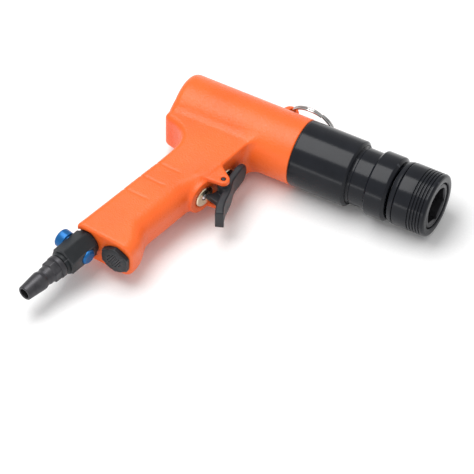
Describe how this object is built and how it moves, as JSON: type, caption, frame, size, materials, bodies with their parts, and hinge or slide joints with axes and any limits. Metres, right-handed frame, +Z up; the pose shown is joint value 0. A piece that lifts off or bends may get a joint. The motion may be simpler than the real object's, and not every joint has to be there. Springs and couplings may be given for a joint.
{
  "type": "pneumatic rivet gun",
  "caption": "Pistol-grip pneumatic rivet-setting gun with a two-way rocker trigger, planetary drive, quick-release hex chuck, inlet shut-off and hanging ring.",
  "frame": {"origin": "centre of the bounding box in plan, on the surface that the tool lies on", "axes": "+X towards the muzzle along the barrel, +Y towards the tool's top, +Z up out of its right side as it lies on its left side"},
  "size_m": [0.2222, 0.232, 0.048],
  "materials": {
    "orange_paint": "fine textured powder coat, semi-gloss",
    "black_anodised": "turned and glossy black anodised",
    "black_plastic": "moulded satin",
    "black_oxide": "oiled black oxide",
    "bright_steel": "ground",
    "chrome": "bright nickel",
    "cut_steel": "machined",
    "yellow_zinc": "yellow zinc plate",
    "blue_anodised": "blue anodised",
    "rubber": "matt",
    "felt": "pressed felt",
    "composite": "phenolic laminate"
  },
  "bodies": {
    "casing": {"pistol_housing": "orange_paint", "gear_case": "black_anodised", "nose_housing": "black_anodised", "ring_gear": "cut_steel", "motor_cylinder": "cut_steel", "motor_rear_plate": "cut_steel", "motor_front_plate": "cut_steel", "rotor_rear_bearing": "bright_steel", "rotor_front_bearing": "bright_steel", "spindle_rear_bearing": "bright_steel", "spindle_front_bearing": "bright_steel", "nose_seal": "rubber", "upper_valve_bush": "black_plastic", "upper_valve_washer": "yellow_zinc", "upper_valve_spring": "bright_steel", "lower_valve_bush": "black_plastic", "lower_valve_washer": "yellow_zinc", "lower_valve_spring": "bright_steel", "trigger_pin": "bright_steel", "inlet_valve_body": "black_anodised", "inlet_gasket": "rubber", "air_plug": "black_oxide", "silencer_plug": "black_anodised", "silencer_felt": "felt"},
    "spindle": {"output_spindle": "black_oxide", "planet_pin_1": "bright_steel", "planet_pin_2": "bright_steel", "planet_pin_3": "bright_steel", "spring_stop_ring": "bright_steel", "sleeve_spring": "bright_steel"},
    "sleeve": {"release_sleeve": "black_anodised", "sleeve_end_nut": "black_anodised"},
    "ball_1": {"detent_ball_1": "bright_steel"},
    "ball_2": {"detent_ball_2": "bright_steel"},
    "ball_3": {"detent_ball_3": "bright_steel"},
    "planet_1": {"planet_gear_1": "cut_steel"},
    "planet_2": {"planet_gear_2": "cut_steel"},
    "planet_3": {"planet_gear_3": "cut_steel"},
    "motor_rotor": {"rotor": "cut_steel", "sun_pinion": "cut_steel", "vane_1": "composite", "vane_2": "composite", "vane_3": "composite", "vane_4": "composite", "vane_5": "composite"},
    "trigger": {"trigger_rocker": "black_plastic"},
    "upper_stem": {"upper_valve_stem": "black_plastic"},
    "lower_stem": {"lower_valve_stem": "black_plastic"},
    "spool": {"shutoff_spool": "blue_anodised", "spool_front_seal": "rubber", "spool_rear_seal": "rubber"},
    "ring": {"hanging_ring": "chrome"}
  },
  "joints": [
    {"name": "spindle_spin", "type": "hinge", "parent": "casing", "child": "spindle", "pos_m": [0.06606, 0.08404, 0.024], "axis": [1, 0, 0], "continuous": true},
    {"name": "rotor_spin", "type": "hinge", "parent": "casing", "child": "motor_rotor", "pos_m": [-0.04394, 0.08404, 0.024], "axis": [1, 0, 0], "continuous": true},
    {"name": "planet_1_spin", "type": "hinge", "parent": "spindle", "child": "planet_1", "pos_m": [0.01406, 0.08404, 0.036], "axis": [1, 0, 0], "continuous": true},
    {"name": "planet_2_spin", "type": "hinge", "parent": "spindle", "child": "planet_2", "pos_m": [0.01406, 0.07365, 0.018], "axis": [1, 0, 0], "continuous": true},
    {"name": "planet_3_spin", "type": "hinge", "parent": "spindle", "child": "planet_3", "pos_m": [0.01406, 0.09443, 0.018], "axis": [1, 0, 0], "continuous": true},
    {"name": "sleeve_pull", "type": "slide", "parent": "spindle", "child": "sleeve", "axis": [1, 0, 0], "range_m": [0, 0.005], "stiffness_N_per_m": 1200, "springref_m": -0.004, "deforming": ["sleeve_spring"]},
    {"name": "ball_1_lift", "type": "slide", "parent": "spindle", "child": "ball_1", "axis": [0, 1, 0], "range_m": [0, 0.00125]},
    {"name": "ball_2_lift", "type": "slide", "parent": "spindle", "child": "ball_2", "axis": [0, -0.5, 0.866], "range_m": [0, 0.00125]},
    {"name": "ball_3_lift", "type": "slide", "parent": "spindle", "child": "ball_3", "axis": [0, -0.5, -0.866], "range_m": [0, 0.00125]},
    {"name": "trigger_rock", "type": "hinge", "parent": "casing", "child": "trigger", "pos_m": [-0.02558, 0.02737, 0.024], "axis": [0, 0, 1], "range_deg": [-4, 4], "stiffness_Nm_per_rad": 0.6},
    {"name": "upper_stem_slide", "type": "slide", "parent": "casing", "child": "upper_stem", "axis": [0.9613, -0.2756, 0], "range_m": [-0.001, 0.001], "deforming": ["upper_valve_spring"]},
    {"name": "lower_stem_slide", "type": "slide", "parent": "casing", "child": "lower_stem", "axis": [0.9613, -0.2756, 0], "range_m": [-0.001, 0.001], "deforming": ["lower_valve_spring"]},
    {"name": "spool_slide", "type": "slide", "parent": "casing", "child": "spool", "axis": [-0.9613, 0.2756, 0], "range_m": [0, 0.006]},
    {"name": "ring_swing", "type": "hinge", "parent": "casing", "child": "ring", "pos_m": [-0.01554, 0.11194, 0.024], "axis": [0, 0, 1], "range_deg": [0, 160]}
  ],
  "couplings": [
    {"joint": "rotor_spin", "follows": "spindle_spin", "ratio": 4},
    {"joint": "planet_1_spin", "follows": "spindle_spin", "ratio": -3},
    {"joint": "planet_2_spin", "follows": "spindle_spin", "ratio": -3},
    {"joint": "planet_3_spin", "follows": "spindle_spin", "ratio": -3},
    {"joint": "ball_1_lift", "follows": "sleeve_pull", "ratio": 0.25},
    {"joint": "ball_2_lift", "follows": "sleeve_pull", "ratio": 0.25},
    {"joint": "ball_3_lift", "follows": "sleeve_pull", "ratio": 0.25},
    {"joint": "upper_stem_slide", "follows": "trigger_rock", "m_per_rad": -0.01},
    {"joint": "lower_stem_slide", "follows": "trigger_rock", "m_per_rad": 0.0115}
  ]
}
